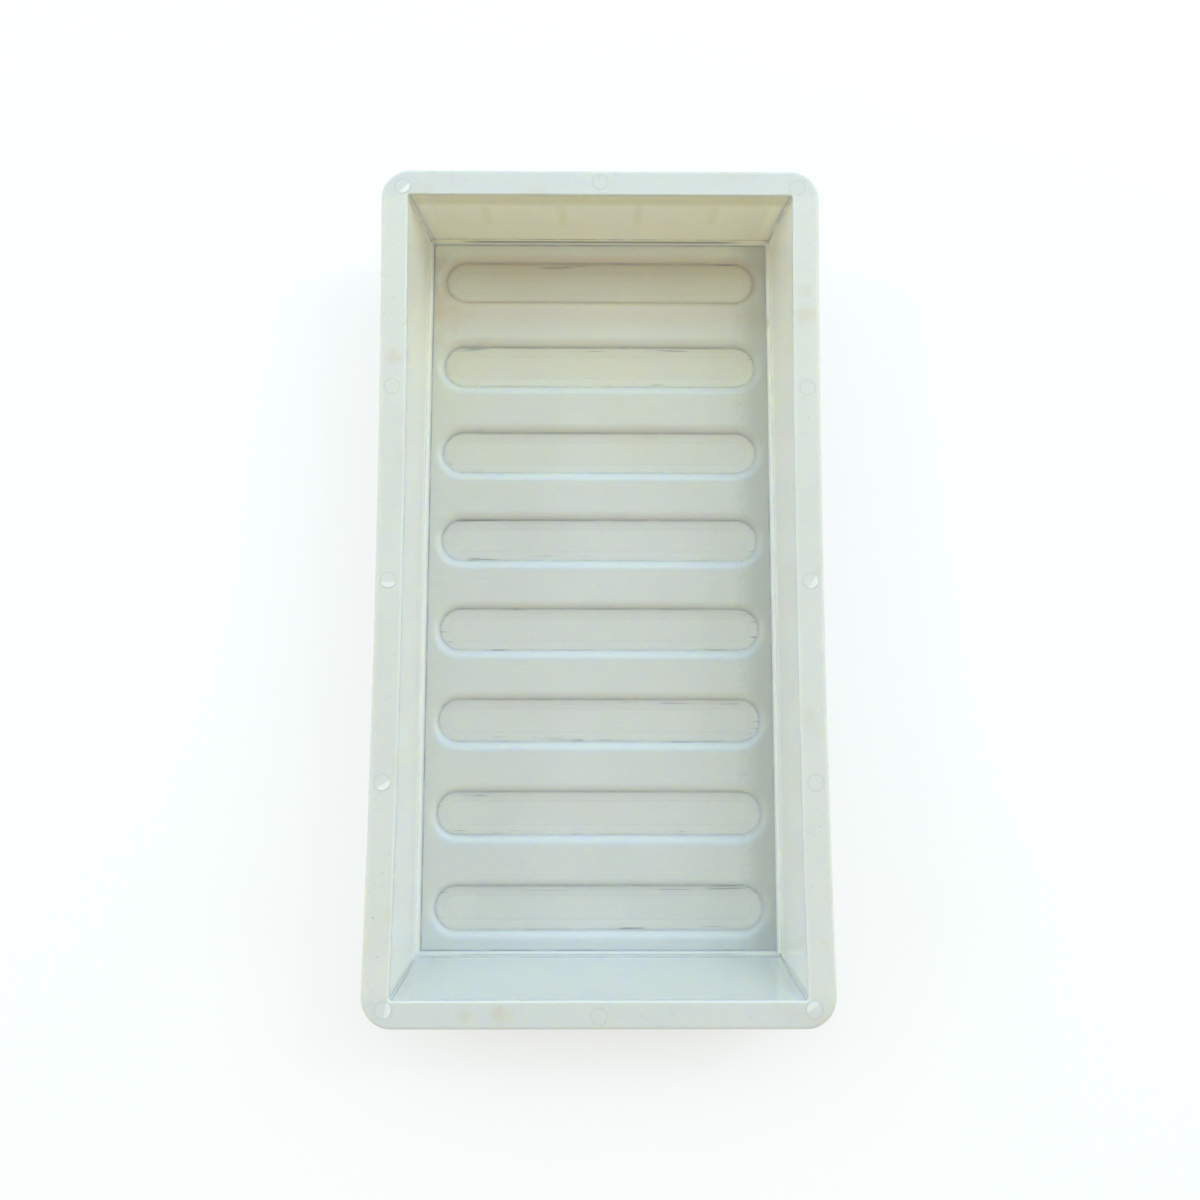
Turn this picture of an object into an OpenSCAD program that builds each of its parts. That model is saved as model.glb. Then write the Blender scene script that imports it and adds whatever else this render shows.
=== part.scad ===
// Straight-sided plastic tray for paint rollers: one thin moulding with a flat
// grooved floor, four drafted walls and a flat rim whose edge turns down.
// Frame: X across the tray, Y along it, Z up. The origin is on the surface that
// the tray stands on, under the middle of the tray.
// Every sub-part is a closed solid, and neighbours meet face to face.

/* [Outline] */
// Overall width across the rim, in mm
outer_w = 300; // [296:1:302]
// Overall length across the rim, in mm
outer_l = 563; // [558:1:566]
// Width of the mouth, between the inner edges of the rim
mouth_w = 263; // [263:1:268]
// Length of the mouth, between the inner edges of the rim
mouth_l = 527; // [527:1:532]
// Inside depth, from the top of the rim to the flat floor
depth = 65; // [50:1:80]
// Slope of the four walls away from the vertical, in degrees
draft = 3; // [1:0.5:3]
// Wall thickness of the moulding
wall_t = 2.5; // [2:0.1:3]
// Radius of the fillet between the floor and the walls
foot_r = 3; // [2:0.5:4]

/* [Rim] */
// Radius of the four outer corners of the rim
corner_r = 20; // [20:1:24]
// Height of the turned-down edge, from the top of the rim
skirt_h = 14; // [10:1:20]
// Thickness of the turned-down edge
skirt_t = 2.2; // [1.8:0.1:3]

/* [Gussets] */
// Thickness of a gusset plate under the rim
gusset_t = 2; // [1.5:0.1:3]
// How far a gusset runs down the wall, from the top of the rim
gusset_h = 40; // [30:1:45]
// Distance between neighbouring gussets
gusset_pitch = 54; // [50:1:55]
// Gussets under the rim at each end of the tray
end_gussets = 4; // [2:1:4]
// Gussets under the rim along each side of the tray
side_gussets = 9; // [5:1:9]

/* [Grooves] */
// Grooves across the floor
groove_count = 8; // [8:1:8]
// Distance between neighbouring grooves
groove_pitch = 65.5; // [60:0.5:66]
// Length of a groove, over its round ends
groove_l = 233; // [200:1:234]
// Width of a groove
groove_w = 31; // [28:1:34]
// Depth of a groove below the flat floor
groove_depth = 5; // [4:0.5:6]
// Radius of the rounded shoulder where the floor turns down into a groove
shoulder_r = 7; // [5:0.5:8]
// Radius of the hollow curve from a groove's side to its flat bottom
hollow_r = 1.5; // [1:0.5:3]

/* [Hidden] */
$fn = 96;

// Levels, from the surface that the tray stands on
floor_top = wall_t + groove_depth;
floor_under = floor_top - wall_t;
rim_top = floor_top + depth;
rim_under = rim_top - wall_t;
skirt_foot = rim_top - skirt_h;

// The cavity's half sizes shrink by this much for each mm further down
slope = tan(draft);
// Plan thickness of a sloping wall
wall_run = wall_t / cos(draft);
// Middles of the corner arcs, which is also where the straight rims end
arc_x = outer_w / 2 - corner_r;
arc_y = outer_l / 2 - corner_r;
// Slope of a groove's side where the shoulder turns into the hollow curve
side_angle = acos(1 - groove_depth / (shoulder_r + hollow_r));
// Half width of a groove out to the end of its shoulder, and of its flat bottom
tile_r = groove_w / 2 + shoulder_r * sin(side_angle);
flat_r = groove_w / 2 - hollow_r * sin(side_angle);
// Half the straight stretch of a groove
groove_run = (groove_l - groove_w) / 2;
// A length that clears the whole tray, for cutting shapes
clear = outer_l + outer_w;

GROOVES = [for (i = [1 : groove_count]) str("groove_", i)];

// Colours of the moulding: cool by the front, warmer by the back
rim_colour = [0.84, 0.87, 0.85];
wall_colour = [0.81, 0.85, 0.81];
floor_colour = [0.78, 0.82, 0.78];
groove_colour = [0.76, 0.80, 0.75];

// Inner half width of the tray at a level, where half_mouth is half the mouth
function inner(half_mouth, z) = half_mouth - (rim_top - z) * slope;

// Middle of groove number i, counted from the front
function groove_y(i) = (i - (groove_count + 1) / 2) * groove_pitch;

// The same shape, mirrored in its first axis where side is -1
module mirrored(side) {
    if (side < 0)
        mirror([1, 0])
            children();
    else
        children();
}

// Outline of a wall in section on the +X side, with the fillet at its foot
module wall_section(half_mouth) {
    middle = [inner(half_mouth, floor_top + foot_r) - foot_r / cos(draft), floor_top + foot_r];
    difference() {
        polygon([
            [inner(half_mouth, floor_under), floor_under],
            [inner(half_mouth, floor_under) + wall_run, floor_under],
            [inner(half_mouth, rim_under) + wall_run, rim_under],
            [inner(half_mouth, rim_under), rim_under],
            middle + foot_r * [cos(draft), -sin(draft)],
            middle,
            [middle[0], floor_top],
            [inner(half_mouth, floor_top), floor_top]
        ]);
        translate(middle)
            circle(foot_r);
    }
}

// A section drawn in X and Z, drawn out along Y by len and centred
module along_y(len) {
    translate([0, len / 2, 0])
        rotate([90, 0, 0])
            linear_extrude(len)
                children();
}

// A section drawn in Y and Z, drawn out along X by len and centred
module along_x(len) {
    rotate([0, 0, 90])
        along_y(len)
            children();
}

// Everything within a trough of the walls' slope between two levels, where grow
// is how far the trough lies outside the walls' inner faces
module trough_section(half_mouth, grow, z0, z1) {
    polygon([
        [-inner(half_mouth, z0) - grow, z0],
        [inner(half_mouth, z0) + grow, z0],
        [inner(half_mouth, z1) + grow, z1],
        [-inner(half_mouth, z1) - grow, z1]
    ]);
}

// The space inside the walls between two levels
module cavity(z0, z1) {
    intersection() {
        along_y(clear)
            trough_section(mouth_w / 2, 0, z0, z1);
        along_x(clear)
            trough_section(mouth_l / 2, 0, z0, z1);
    }
}

// Stadium outline of a groove with end radius r
module stadium(r) {
    square([2 * groove_run, 2 * r], center = true);
    for (side = [-1, 1])
        translate([side * groove_run, 0])
            circle(r);
}

// Part of a ring between two angles less than a right angle apart
module ring_sector(r_in, r_out, from, to) {
    reach = 2 * r_out;
    intersection() {
        difference() {
            circle(r_out);
            circle(r_in);
        }
        polygon([
            [0, 0],
            reach * [cos(from), sin(from)],
            reach * [cos(to), sin(to)]
        ]);
    }
}

// Half section of a groove: distance from its middle line, and level
module groove_section() {
    square([flat_r, wall_t]);
    translate([flat_r, wall_t + hollow_r])
        ring_sector(hollow_r, hollow_r + wall_t, -90, side_angle - 90);
    translate([tile_r, floor_top - shoulder_r])
        ring_sector(shoulder_r - wall_t, shoulder_r, 90, 90 + side_angle);
}

// One groove: a shallow pan with straight sides and half-round ends
module groove(i) {
    color(groove_colour)
        translate([0, groove_y(i), 0]) {
            along_x(2 * groove_run)
                for (side = [-1, 1])
                    mirrored(side)
                        groove_section();
            for (side = [-1, 1])
                translate([side * groove_run, 0, 0])
                    rotate([0, 0, -90 * side])
                        rotate_extrude(angle = 180)
                            groove_section();
        }
}

// Flat floor between and around the grooves
module floor_panel() {
    color(floor_colour)
        difference() {
            cavity(floor_under, floor_top);
            for (i = [1 : groove_count])
                translate([0, groove_y(i), floor_under - 1])
                    linear_extrude(wall_t + 2)
                        stadium(tile_r);
        }
}

// Long wall at one side, where side is -1 on the left and 1 on the right
module wall_side(side) {
    color(wall_colour)
        intersection() {
            along_y(clear)
                mirrored(side)
                    wall_section(mouth_w / 2);
            along_x(clear)
                trough_section(mouth_l / 2, wall_run, floor_under, rim_under);
        }
}

// Short wall at one end, between the long walls
module wall_end(side) {
    color(wall_colour)
        difference() {
            intersection() {
                along_x(clear)
                    mirrored(side)
                        wall_section(mouth_l / 2);
                along_y(clear)
                    trough_section(mouth_w / 2, 0, floor_under, rim_under);
            }
            for (flank = [-1, 1])
                along_y(clear)
                    mirrored(flank)
                        wall_section(mouth_w / 2);
        }
}

// Outline of the rim, drawn in by inset on every side
module rim_outline(inset) {
    r = corner_r - inset;
    square([2 * arc_x, outer_l - 2 * inset], center = true);
    square([outer_w - 2 * inset, 2 * arc_y], center = true);
    for (x = [-arc_x, arc_x], y = [-arc_y, arc_y])
        translate([x, y])
            circle(r);
}

// Flat straight rim along one side
module rim_side(side) {
    color(rim_colour)
        along_y(2 * arc_y)
            polygon([
                [side * inner(mouth_w / 2, rim_under), rim_under],
                [side * outer_w / 2, rim_under],
                [side * outer_w / 2, rim_top],
                [side * mouth_w / 2, rim_top]
            ]);
}

// Flat straight rim across one end
module rim_end(side) {
    color(rim_colour)
        along_x(2 * arc_x)
            polygon([
                [side * inner(mouth_l / 2, rim_under), rim_under],
                [side * outer_l / 2, rim_under],
                [side * outer_l / 2, rim_top],
                [side * mouth_l / 2, rim_top]
            ]);
}

// Round outer corner of the rim, with its turned-down edge
module rim_corner(sx, sy) {
    color(rim_colour)
        intersection() {
            difference() {
                translate([0, 0, skirt_foot])
                    linear_extrude(skirt_h)
                        rim_outline(0);
                translate([0, 0, skirt_foot - 1])
                    linear_extrude(skirt_h - wall_t + 1)
                        rim_outline(skirt_t);
                cavity(rim_under - 1, rim_top + 1);
            }
            translate([sx > 0 ? arc_x : -arc_x - clear, sy > 0 ? arc_y : -arc_y - clear, 0])
                cube([clear, clear, clear]);
        }
}

// Turned-down edge along one side
module skirt_side(side) {
    color(rim_colour)
        translate([side > 0 ? outer_w / 2 - skirt_t : -outer_w / 2, -arc_y, skirt_foot])
            cube([skirt_t, 2 * arc_y, rim_under - skirt_foot]);
}

// Turned-down edge across one end
module skirt_end(side) {
    color(rim_colour)
        translate([-arc_x, side > 0 ? outer_l / 2 - skirt_t : -outer_l / 2, skirt_foot])
            cube([2 * arc_x, skirt_t, rim_under - skirt_foot]);
}

// Outline of a gusset between the wall, the rim and the turned-down edge
module gusset_section(half_mouth, half_outer) {
    foot = rim_top - gusset_h;
    polygon([
        [inner(half_mouth, foot) + wall_run, foot],
        [inner(half_mouth, rim_under) + wall_run, rim_under],
        [half_outer - skirt_t, rim_under],
        [half_outer - skirt_t, skirt_foot]
    ]);
}

// Row of gussets along one side
module gussets_side(side) {
    color(wall_colour)
        for (i = [1 : side_gussets])
            translate([0, (i - (side_gussets + 1) / 2) * gusset_pitch, 0])
                along_y(gusset_t)
                    mirrored(side)
                        gusset_section(mouth_w / 2, outer_w / 2);
}

// Row of gussets across one end
module gussets_end(side) {
    color(wall_colour)
        for (i = [1 : end_gussets])
            translate([(i - (end_gussets + 1) / 2) * gusset_pitch, 0, 0])
                along_x(gusset_t)
                    mirrored(side)
                        gusset_section(mouth_l / 2, outer_l / 2);
}

floor_panel();
for (i = [1 : groove_count]) groove(i);
wall_side(-1);  // wall_left
wall_side(1);  // wall_right
wall_end(-1);  // wall_front
wall_end(1);  // wall_back
rim_side(-1);  // rim_left
rim_side(1);  // rim_right
rim_end(-1);  // rim_front
rim_end(1);  // rim_back
rim_corner(-1, -1);  // rim_corner_front_left
rim_corner(1, -1);  // rim_corner_front_right
rim_corner(-1, 1);  // rim_corner_back_left
rim_corner(1, 1);  // rim_corner_back_right
skirt_side(-1);  // skirt_left
skirt_side(1);  // skirt_right
skirt_end(-1);  // skirt_front
skirt_end(1);  // skirt_back
gussets_side(-1);  // gussets_left
gussets_side(1);  // gussets_right
gussets_end(-1);  // gussets_front
gussets_end(1);  // gussets_back
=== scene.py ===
import math

import bmesh
import bpy
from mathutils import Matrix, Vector


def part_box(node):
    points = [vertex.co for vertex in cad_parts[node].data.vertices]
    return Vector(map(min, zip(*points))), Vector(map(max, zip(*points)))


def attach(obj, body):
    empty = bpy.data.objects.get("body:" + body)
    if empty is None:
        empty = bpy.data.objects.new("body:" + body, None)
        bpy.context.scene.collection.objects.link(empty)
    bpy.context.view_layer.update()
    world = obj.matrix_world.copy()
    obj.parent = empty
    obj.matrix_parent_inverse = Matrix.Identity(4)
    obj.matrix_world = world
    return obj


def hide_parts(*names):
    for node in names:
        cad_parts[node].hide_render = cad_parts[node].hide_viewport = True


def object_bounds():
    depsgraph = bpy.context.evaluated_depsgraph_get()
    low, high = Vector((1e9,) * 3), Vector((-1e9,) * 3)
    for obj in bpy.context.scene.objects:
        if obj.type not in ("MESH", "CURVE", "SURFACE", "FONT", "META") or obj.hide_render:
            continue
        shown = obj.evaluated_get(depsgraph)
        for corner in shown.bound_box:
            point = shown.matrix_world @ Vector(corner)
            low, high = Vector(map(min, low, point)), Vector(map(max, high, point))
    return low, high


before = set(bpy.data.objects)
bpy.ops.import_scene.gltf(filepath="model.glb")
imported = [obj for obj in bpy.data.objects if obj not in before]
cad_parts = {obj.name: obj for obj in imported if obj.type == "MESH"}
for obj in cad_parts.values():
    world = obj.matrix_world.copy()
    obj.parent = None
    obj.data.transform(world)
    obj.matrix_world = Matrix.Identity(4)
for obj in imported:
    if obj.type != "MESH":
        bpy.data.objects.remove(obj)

# The CAD model's own box, which the visual model has to stay inside.
cad_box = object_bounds()

BODY = "root"
MM = 0.001

# ---------------------------------------------------------------- dimensions

half_w, half_l, rim_top = cad_box[1]
floor_lo, floor_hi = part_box("floor_panel")
floor_under, floor_top = floor_lo.z, floor_hi.z
floor_x, floor_y = floor_hi.x, floor_hi.y
rim_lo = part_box("rim_right")[0]
rim_under = rim_lo.z
arc_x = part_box("rim_back")[1].x
arc_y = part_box("rim_right")[1].y
skirt_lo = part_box("skirt_right")[0]
skirt_foot = skirt_lo.z
skirt_t = half_w - skirt_lo.x
wall_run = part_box("wall_right")[1].x - rim_lo.x
slope = (rim_lo.x - floor_x) / (rim_under - floor_top)
draft = math.atan(slope)
wall_t = rim_top - rim_under
mouth_x = rim_lo.x + slope * wall_t
mouth_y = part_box("rim_back")[0].y + slope * wall_t

FOOT_R = 3.0 * MM          # fillet between the floor and the walls
FOOT_CORNER_R = 3.3 * MM   # upright inner corners, at the floor
EDGE_R = 1.1 * MM          # rounded inner edge of the rim
LIP_R = 3.2 * MM           # rounded outer edge of the rim
UNDER_R = 3.5 * MM         # rounded outer edge under the walls
BOW = 2.6 * MM             # how far the long sides of the rim bow in halfway
# How far the flat of the floor ends inside the mouth's edge
foot_inset = slope * (rim_top - floor_top - FOOT_R) + FOOT_R / math.cos(draft)

# Hidden tongues, by which one piece reaches into the next: how deep they lie under
# its surface, how far they run, and the share of a groove's side that they cover
TUCK = 0.1 * MM
WALL_TONGUE = 3.0 * MM
RIM_TONGUE = 5.0 * MM
FLOOR_TONGUE = 1.8 * MM
FLOOR_TONGUE_TURN = 0.5
GROOVE_TONGUE_TURN = 0.45

SHOULDER_R = 7.0 * MM      # where the floor turns down into a groove
HOLLOW_R = 1.5 * MM        # from a groove's side to its bottom
DISH = 0.5 * MM            # how far the bottom of a groove sinks in its middle
DISH_EDGE = 8.3 * MM       # from a groove's middle line to the foot of that dish
groove_names = [n for n in sorted(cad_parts) if n.startswith("groove_")]
groove_lo, groove_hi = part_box(groove_names[0])
groove_depth = floor_top - wall_t
side_angle = math.acos(1 - groove_depth / (SHOULDER_R + HOLLOW_R))
tile_r = (groove_hi.y - groove_lo.y) / 2
groove_r = tile_r - SHOULDER_R * math.sin(side_angle)
flat_r = groove_r - HOLLOW_R * math.sin(side_angle)
groove_run = groove_hi.x - tile_r
groove_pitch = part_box(groove_names[1])[0].y - groove_lo.y

# Gussets: how far apart, how thick, and their rounded edges
GUSSET_PITCH = 54.0 * MM
GUSSET_T = 2.0 * MM
GUSSET_EDGE = 0.35 * MM
gusset_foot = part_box("gussets_back")[0].z

# Round marks of the ejector pins on the rim: place, then the direction in degrees
# of the sliver that a tilted pin left, with a painted glint, or None where it left a plain circle
PIN_R = 5.8 * MM
PIN_RING = 0.10 * MM       # height of the ring round a mark
PIN_TILT = math.tan(math.radians(7))
PIN_CORNER_X = 135 * MM
PIN_CORNER_Y = 269 * MM
PIN_SIDE_Y = 129.5 * MM
rim_mid_x = (mouth_x + half_w) / 2
rim_mid_y = (mouth_y + half_l) / 2
PIN_MARKS = [
    ((-PIN_CORNER_X, PIN_CORNER_Y), -45),
    ((0, rim_mid_y), None),
    ((PIN_CORNER_X, PIN_CORNER_Y), None),
    ((-rim_mid_x, PIN_SIDE_Y), None),
    ((rim_mid_x, PIN_SIDE_Y), None),
    ((-rim_mid_x, 0), -90),
    ((rim_mid_x, 0), -30),
    ((-rim_mid_x, -PIN_SIDE_Y), -60),
    ((rim_mid_x, -PIN_SIDE_Y), None),
    ((-PIN_CORNER_X, -PIN_CORNER_Y), -10),
    ((0, -rim_mid_y), None),
    ((PIN_CORNER_X, -PIN_CORNER_Y), 120),
]

# Stains on the rim: place and reach. Then the rim's dark specks, the gate's mark in
# the middle of the floor, a warm spot at the floor's back left, and where the painted
# shade that cools the floor towards the front begins
RIM_STAINS = [
    ((-62 * MM, -272 * MM), 8 * MM),
    ((-84 * MM, -273 * MM), 6 * MM),
    ((138 * MM, 196 * MM), 7 * MM),
    ((139 * MM, 180 * MM), 8 * MM),
    ((-139 * MM, 150 * MM), 6 * MM),
]
RIM_SPECKS = [(140 * MM, 274 * MM), (141 * MM, 122 * MM), (141 * MM, -157 * MM)]
SPECK_R = 0.5 * MM
GATE_R = 3.0 * MM
WARM_SPOT = (-112 * MM, 212 * MM)
WARM_REACH = 34 * MM
SKY_TINT_FROM = -floor_y + 26 * MM

# Stations round a ring: segments in each corner, across an end and along a side
CORNER_SEGS = 10
END_SEGS = 24
SIDE_SEGS = 44
# Segments round the rim's corners, across its flat top, and across a pin mark
RIM_CORNER_SEGS = 40
RIM_TOP_SEGS = 44
PIN_SEGS = 36
# Stations round a groove: segments in each round end's quarter and in its straight
QUARTER_SEGS = 16
STRAIGHT_SEGS = 24
# Segments up a wall, across its fillets, across the rim's inner edge, outer edge, foot
# and root, and across a groove's shoulder and hollow
WALL_LEVELS = 8
FILLET_SEGS = 7
EDGE_SEGS = 5
LIP_SEGS = 8
SKIRT_SEGS = 3
ROOT_SEGS = 4
SHOULDER_SEGS = 12
HOLLOW_SEGS = 8

SAME = 1e-6                # metres within which two points are one


# ---------------------------------------------------------------- mesh tools

def bowed(point):
    """The point, moved as the long sides of the moulding bow in towards the rim."""
    x, y, z = point
    height = min(max((z - floor_top) / (rim_top - floor_top), 0.0), 1.0)
    middle = max(0.0, 1.0 - (y / arc_y) ** 2)
    return (x * (1.0 - BOW / half_w * middle * height), y, z)


def make_piece(name, verts, faces, material, nodes, sharp=40.0):
    """A closed mesh piece that rides with the tray and stands for CAD nodes."""
    mesh = bpy.data.meshes.new(name)
    mesh.from_pydata([bowed(v) for v in verts], [], faces)
    net = bmesh.new()
    net.from_mesh(mesh)
    bmesh.ops.remove_doubles(net, verts=net.verts, dist=SAME)
    bmesh.ops.dissolve_degenerate(net, edges=net.edges, dist=SAME)
    bmesh.ops.recalc_face_normals(net, faces=net.faces)
    net.to_mesh(mesh)
    net.free()
    mesh.shade_smooth()
    mesh.set_sharp_from_angle(angle=math.radians(sharp))
    mesh.materials.append(material)
    piece = bpy.data.objects.new(name, mesh)
    bpy.context.collection.objects.link(piece)
    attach(piece, BODY)
    if nodes:
        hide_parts(*nodes)
    return piece


def loft(contours, closed_ring):
    """Vertices and faces of a band through contours, whose last joins its first."""
    count = len(contours[0])
    verts = [p for contour in contours for p in contour]
    faces = []
    for k in range(len(contours)):
        a = k * count
        b = (k + 1) % len(contours) * count
        for j in range(count if closed_ring else count - 1):
            n = (j + 1) % count
            faces.append((a + j, a + n, b + n, b + j))
    if not closed_ring:
        faces.append(tuple(k * count for k in range(len(contours))))
        faces.append(tuple(k * count + count - 1 for k in range(len(contours))))
    return verts, faces


def arc(cx, cy, r, start, end, segs):
    """Points on an arc, from one angle to another in degrees."""
    angles = [math.radians(start + (end - start) * i / segs) for i in range(segs + 1)]
    return [(cx + r * math.cos(a), cy + r * math.sin(a)) for a in angles]


class Shells:
    """Several closed shells gathered into one mesh."""

    def __init__(self):
        self.verts = []
        self.faces = []

    def add(self, verts, faces):
        at = len(self.verts)
        self.verts += verts
        self.faces += [tuple(v + at for v in face) for face in faces]


# ---------------------------------------------------------------- walls and rim

def corner_middle(z, fixed):
    """Middle of the upright corner's arc at a level, fixed under the rim."""
    if fixed or z >= rim_under:
        return arc_x, arc_y
    down = min((rim_under - z) / (rim_under - floor_top), 1.0)
    foot_x, foot_y = floor_x - FOOT_CORNER_R, floor_y - FOOT_CORNER_R
    return arc_x + (foot_x - arc_x) * down, arc_y + (foot_y - arc_y) * down


def stops(reach, segs, pins):
    """Places from -reach towards reach, close together round each pin mark."""
    near = 1.15 * PIN_R
    edge = 1.5 * MM
    places = [reach * (2 * i / segs - 1) for i in range(segs)]
    for pin in pins:
        places = [p for p in places if abs(p - pin) > near]
        places += [pin + near * (2 * i / PIN_SEGS - 1) for i in range(PIN_SEGS + 1)]
    if pins:
        places += [edge - reach, reach - edge]
    return [p / reach for p in sorted(places)]


WALL_GRID = (stops(arc_y, SIDE_SEGS, []), stops(arc_x, END_SEGS, []), CORNER_SEGS)
RIM_GRID = (
    stops(arc_y, SIDE_SEGS, [-PIN_SIDE_Y, 0.0, PIN_SIDE_Y]),
    stops(arc_x, END_SEGS, [0.0]),
    RIM_CORNER_SEGS,
)


def ring_contour(u, z, fixed=False):
    """Rounded rectangle at level z, which lies u outside the mouth's edge."""
    side_stops, end_stops, corner_segs = RIM_GRID if fixed else WALL_GRID
    cx, cy = corner_middle(z, fixed)
    end_scale = (half_l - mouth_y) / (half_w - mouth_x) if fixed and u > 0 else 1.0
    rx, ry = mouth_x + u - cx, mouth_y + u * end_scale - cy
    points = []
    for k, (sx, sy) in enumerate([(1, 1), (-1, 1), (-1, -1), (1, -1)]):
        if k % 2 == 0:
            points += [(sx * (cx + rx), sy * cy * t, z) for t in side_stops]
        else:
            points += [(-sy * cx * t, sy * (cy + ry), z) for t in end_stops]
        for i in range(corner_segs):
            a = math.radians(90 * (k + i / corner_segs))
            points.append((sx * cx + rx * math.cos(a), sy * cy + ry * math.sin(a), z))
    return points


def ring_stations():
    """First station of each straight and corner, in the order of ring_contour."""
    starts, at = {}, 0
    for name, segs in (
        ("right", SIDE_SEGS), ("back_right", CORNER_SEGS),
        ("back", END_SEGS), ("back_left", CORNER_SEGS),
        ("left", SIDE_SEGS), ("front_left", CORNER_SEGS),
        ("front", END_SEGS), ("front_right", CORNER_SEGS),
    ):
        starts[name] = at
        at += segs
    return starts, at


def inner_u(z):
    """Where a wall's inner face lies at a level, outside the mouth's edge."""
    return -(rim_top - z) * slope


def wall_section():
    """Closed outline of a wall: from its top down the inside, round and back up."""
    z_mid = floor_top + FOOT_R
    u_mid = inner_u(z_mid) - FOOT_R / math.cos(draft)
    inside_top = rim_top - EDGE_R
    inside_foot = z_mid - FOOT_R * math.sin(draft)
    drop = (inside_foot - inside_top) / WALL_LEVELS
    levels = [inside_top + drop * i for i in range(WALL_LEVELS)]
    section = [(inner_u(z), z) for z in levels]
    section += arc(u_mid, z_mid, FOOT_R, -math.degrees(draft), -90, FILLET_SEGS)
    section.append((u_mid, floor_under))
    outer_foot = inner_u(floor_under) + wall_run
    under_z = floor_under + UNDER_R
    section += arc(outer_foot - UNDER_R, under_z, UNDER_R, -90, 0, FILLET_SEGS)
    levels = [under_z, rim_under]
    section += [(inner_u(z) + wall_run, z) for z in levels]
    # A hidden tongue inside the rim
    tongue = inner_u(rim_under) + wall_run + WALL_TONGUE
    section += [(tongue, rim_under + TUCK), (tongue, rim_top - TUCK)]
    section += [(EDGE_R + TUCK, rim_top - TUCK), (inner_u(inside_top) + TUCK, inside_top)]
    return section


def rim_section():
    """Closed outline of the rim with its turned-down edge."""
    outer = half_w - mouth_x
    section = arc(EDGE_R, rim_top - EDGE_R, EDGE_R, 180, 90, EDGE_SEGS)
    section[0] = (inner_u(rim_top - EDGE_R), rim_top - EDGE_R)
    flat = outer - LIP_R - EDGE_R
    section += [(EDGE_R + flat * i / RIM_TOP_SEGS, rim_top) for i in range(1, RIM_TOP_SEGS)]
    section += arc(outer - LIP_R, rim_top - LIP_R, LIP_R, 90, 0, LIP_SEGS)
    foot_r = 0.8 * MM
    foot_z = skirt_foot + foot_r
    section += arc(outer - foot_r, foot_z, foot_r, 0, -90, SKIRT_SEGS)
    section += arc(outer - skirt_t + foot_r, foot_z, foot_r, -90, -180, SKIRT_SEGS)
    root_r = 1.5 * MM
    section += arc(outer - skirt_t - root_r, rim_under - root_r, root_r, 0, 90, ROOT_SEGS)
    # A hidden tongue inside the top of the wall
    low = rim_under - RIM_TONGUE
    section.append((inner_u(rim_under) + wall_run, rim_under))
    section.append((inner_u(rim_under) + wall_run - 3 * TUCK, rim_under))
    section.append((inner_u(low) + wall_run - 3 * TUCK, low))
    section.append((inner_u(low) + TUCK, low))
    section.append((inner_u(rim_top - EDGE_R) + TUCK, rim_top - EDGE_R))
    return section


def pin_shape(x, y):
    """Rim at an ejector-pin mark: height, how bright its painted glint, how dark a ring."""
    ring_r, ring_half = 0.9 * PIN_R, 0.1 * PIN_R
    face_r = 0.86 * PIN_R
    sliver_from = 0.22 * PIN_R
    for (x0, y0), turn in PIN_MARKS:
        dx, dy = x - x0, y - y0
        r = math.hypot(dx, dy)
        if r > PIN_R:
            continue
        across = max(0.0, 1.0 - ((r - ring_r) / ring_half) ** 2)
        height = PIN_RING * across ** 2
        if turn is None or r > face_r:
            return height, 0.0, across
        a = math.radians(turn)
        beyond = dx * math.cos(a) + dy * math.sin(a) - sliver_from
        if beyond < 0:
            return height, 0.10, across
        return height + beyond * PIN_TILT, 1.0, 0.0
    return 0.0, 0.0, 0.0


def wall_pieces(material):
    """The four walls, cut from one ring at its corners."""
    starts, count = ring_stations()
    contours = [ring_contour(u, z) for u, z in wall_section()]
    spans = {
        "left": (starts["back_left"], starts["front"]),
        "right": (starts["front_right"], starts["back"] + count),
        "front": (starts["front"], starts["front_right"]),
        "back": (starts["back"], starts["back_left"]),
    }
    for side, (first, last) in spans.items():
        cut = [[c[j % count] for j in range(first, last + 1)] for c in contours]
        verts, faces = loft(cut, closed_ring=False)
        make_piece("tray_wall_" + side, verts, faces, material, ["wall_" + side])


def rim_piece(material):
    """The rim all round, with the marks of the ejector pins on its top."""
    contours = [ring_contour(u, z, fixed=True) for u, z in rim_section()]
    verts, faces = loft(contours, closed_ring=True)
    on_top = [z > rim_top - TUCK / 2 for x, y, z in verts]
    shaped = [
        (x, y, z + pin_shape(x, y)[0]) if top else (x, y, z)
        for (x, y, z), top in zip(verts, on_top)
    ]
    nodes = [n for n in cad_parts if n.startswith(("rim_", "skirt_"))]
    rim = make_piece("tray_rim", shaped, faces, material, nodes)
    # Attributes tell the material where the slivers and the rings of the marks are.
    for k, name in ((1, "sliver"), (2, "ring")):
        layer = rim.data.attributes.new(name, "FLOAT", "POINT")
        for vertex, value in zip(rim.data.vertices, layer.data):
            x, y, z = vertex.co
            if z > rim_top - TUCK / 2:
                value.value = pin_shape(x / bowed((1.0, y, rim_top))[0], y)[k]


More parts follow.
